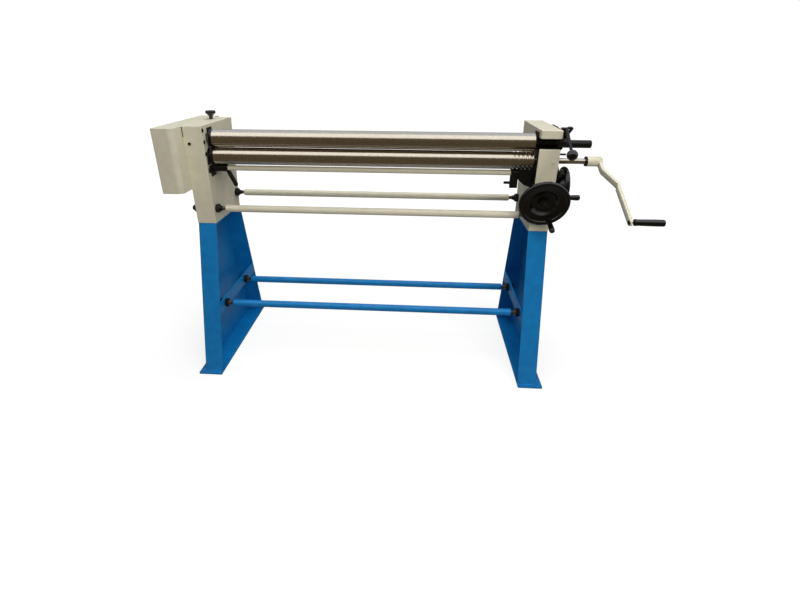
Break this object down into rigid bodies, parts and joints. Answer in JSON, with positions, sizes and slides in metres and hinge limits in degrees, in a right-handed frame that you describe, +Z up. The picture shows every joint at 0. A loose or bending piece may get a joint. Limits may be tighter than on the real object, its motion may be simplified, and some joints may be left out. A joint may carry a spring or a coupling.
{
  "type": "slip roll",
  "caption": "Hand-cranked slip roll on a blue sheet-metal stand: cream cast heads, ground steel rolls, geared drive under a cover, handwheels, cross shaft and a latched swing-out upper roll.",
  "frame": {"origin": "On the floor, midway between the two heads and midway along the feet.", "axes": "+X runs along the rolls towards the crank, the operator stands at -Y, +Z is up."},
  "size_m": [1.8928, 0.8318, 1.126],
  "materials": {
    "blue_paint": "semi-gloss enamel",
    "cream_paint": "semi-gloss enamel",
    "ground_steel": "ground",
    "bare_steel": "oiled, turned",
    "black_steel": "blackened, oiled",
    "black_iron": "as cast, black",
    "black_plastic": "moulded, polished",
    "pale_plastic": "moulded",
    "bronze": "machined"
  },
  "bodies": {
    "frame": {"left_leg": "blue_paint", "right_leg": "blue_paint", "left_strap": "blue_paint", "right_strap": "blue_paint", "stand_rod_front": "blue_paint", "stand_rod_rear": "blue_paint", "stand_rod_studs": "bare_steel", "head_rod_studs": "bare_steel", "stand_rod_nuts": "black_steel", "head_rod_nuts": "black_steel", "head_dome_nuts": "black_steel", "leg_bolts": "black_steel", "left_head": "cream_paint", "right_head": "cream_paint", "head_rod_front": "cream_paint", "head_rod_rear": "cream_paint", "gear_cover": "cream_paint", "front_plug": "pale_plastic", "face_screws": "black_steel", "left_slide_plate": "black_steel", "right_slide_plate": "black_steel", "pocket_liner": "black_steel", "gear_bush": "bronze", "left_cross_bearing": "black_steel", "right_cross_bearing": "black_steel", "latch_bracket": "black_steel", "lever_pin": "black_steel", "rail_bar": "black_steel", "rear_bar": "black_steel"},
    "swing_bearing": {"swing_yoke": "black_steel"},
    "upper_roll_body": {"upper_roll": "ground_steel", "upper_roll_bush": "black_steel"},
    "upper_gear_body": {"upper_gear": "bare_steel"},
    "lower_carriage": {"left_lower_block": "black_steel", "right_lower_block": "black_steel"},
    "lower_roll_body": {"lower_roll": "ground_steel", "crank_shaft": "ground_steel", "lower_gear": "bare_steel", "crank_arm": "cream_paint", "crank_bolt": "black_steel"},
    "crank_grip_body": {"crank_grip": "black_plastic"},
    "rear_carriage": {"left_rear_block": "black_steel", "right_rear_block": "black_steel", "lift_screws": "bare_steel"},
    "rear_roll_body": {"rear_roll": "ground_steel"},
    "cross_shaft_body": {"cross_shaft": "cream_paint", "left_cam": "bare_steel", "right_cam": "bare_steel", "shaft_pins": "black_steel", "lift_gear": "black_steel"},
    "side_wheel_body": {"side_wheel": "black_plastic", "side_pinion": "black_steel"},
    "side_handle_body": {"side_handle": "black_plastic"},
    "front_wheel_body": {"front_wheel": "black_plastic", "front_spindle": "black_steel"},
    "front_handle_body": {"front_handle": "black_plastic"},
    "latch_arm_body": {"latch_arm": "black_iron"},
    "ball_lever_body": {"lever_rod": "black_steel", "ball_knob": "black_plastic"},
    "top_knob_body": {"top_knob": "black_plastic"}
  },
  "joints": [
    {"name": "upper_swing", "type": "hinge", "parent": "frame", "child": "swing_bearing", "pos_m": [-0.7025, -0.183, 1.0374], "axis": [0, 0, 1], "range_deg": [-4, 0]},
    {"name": "upper_roll_spin", "type": "hinge", "parent": "swing_bearing", "child": "upper_roll_body", "pos_m": [-0.7025, -0.183, 1.0374], "axis": [1, 0, 0], "continuous": true},
    {"name": "upper_gear_spin", "type": "hinge", "parent": "frame", "child": "upper_gear_body", "pos_m": [-0.7595, -0.183, 1.0374], "axis": [1, 0, 0], "continuous": true},
    {"name": "lower_lift", "type": "slide", "parent": "frame", "child": "lower_carriage", "axis": [0, 0, 1], "range_m": [-0.0015, 0.0015]},
    {"name": "crank_spin", "type": "hinge", "parent": "lower_carriage", "child": "lower_roll_body", "pos_m": [0.7025, -0.183, 0.9654], "axis": [1, 0, 0], "continuous": true},
    {"name": "crank_grip_spin", "type": "hinge", "parent": "lower_roll_body", "child": "crank_grip_body", "pos_m": [1.01, -0.47967, 0.80766], "axis": [1, 0, 0], "continuous": true},
    {"name": "rear_lift", "type": "slide", "parent": "frame", "child": "rear_carriage", "axis": [0, -0.2588, 0.9659], "range_m": [0, 0.045]},
    {"name": "rear_roll_spin", "type": "hinge", "parent": "rear_carriage", "child": "rear_roll_body", "pos_m": [0, -0.1, 0.951], "axis": [1, 0, 0], "continuous": true},
    {"name": "cross_shaft_turn", "type": "hinge", "parent": "frame", "child": "cross_shaft_body", "pos_m": [0, -0.175, 0.9139], "axis": [1, 0, 0], "range_deg": [-76, 76]},
    {"name": "side_wheel_turn", "type": "hinge", "parent": "frame", "child": "side_wheel_body", "pos_m": [0.75, -0.183, 0.86799], "axis": [1, 0, 0], "range_deg": [-138, 138]},
    {"name": "side_handle_spin", "type": "hinge", "parent": "side_wheel_body", "child": "side_handle_body", "pos_m": [0.7825, -0.22331, 0.82769], "axis": [1, 0, 0], "continuous": true},
    {"name": "front_wheel_turn", "type": "hinge", "parent": "frame", "child": "front_wheel_body", "pos_m": [0.6985, -0.21566, 0.824], "axis": [0, 0.9511, 0.309], "range_deg": [0, 360]},
    {"name": "front_handle_spin", "type": "hinge", "parent": "front_wheel_body", "child": "front_handle_body", "pos_m": [0.72922, -0.23686, 0.73717], "axis": [0, 0.9511, 0.309], "continuous": true},
    {"name": "ball_lever_turn", "type": "hinge", "parent": "frame", "child": "ball_lever_body", "pos_m": [0.765, -0.135, 1.044], "axis": [1, 0, 0], "range_deg": [-95, 0]},
    {"name": "latch_arm_turn", "type": "hinge", "parent": "frame", "child": "latch_arm_body", "pos_m": [0.758, -0.11, 0.979], "axis": [1, 0, 0], "range_deg": [-8, 0]},
    {"name": "top_knob_turn", "type": "hinge", "parent": "frame", "child": "top_knob_body", "pos_m": [-0.722, 0.022, 1.09], "axis": [0, 0, 1], "continuous": true}
  ],
  "couplings": [
    {"joint": "upper_roll_spin", "follows": "crank_spin", "ratio": -1},
    {"joint": "upper_gear_spin", "follows": "crank_spin", "ratio": -1},
    {"joint": "cross_shaft_turn", "follows": "lower_lift", "rad_per_m": 872.66},
    {"joint": "side_wheel_turn", "follows": "lower_lift", "rad_per_m": -1586.7},
    {"joint": "front_wheel_turn", "follows": "rear_lift", "rad_per_m": 139},
    {"joint": "latch_arm_turn", "follows": "ball_lever_turn", "ratio": 0.0837}
  ]
}
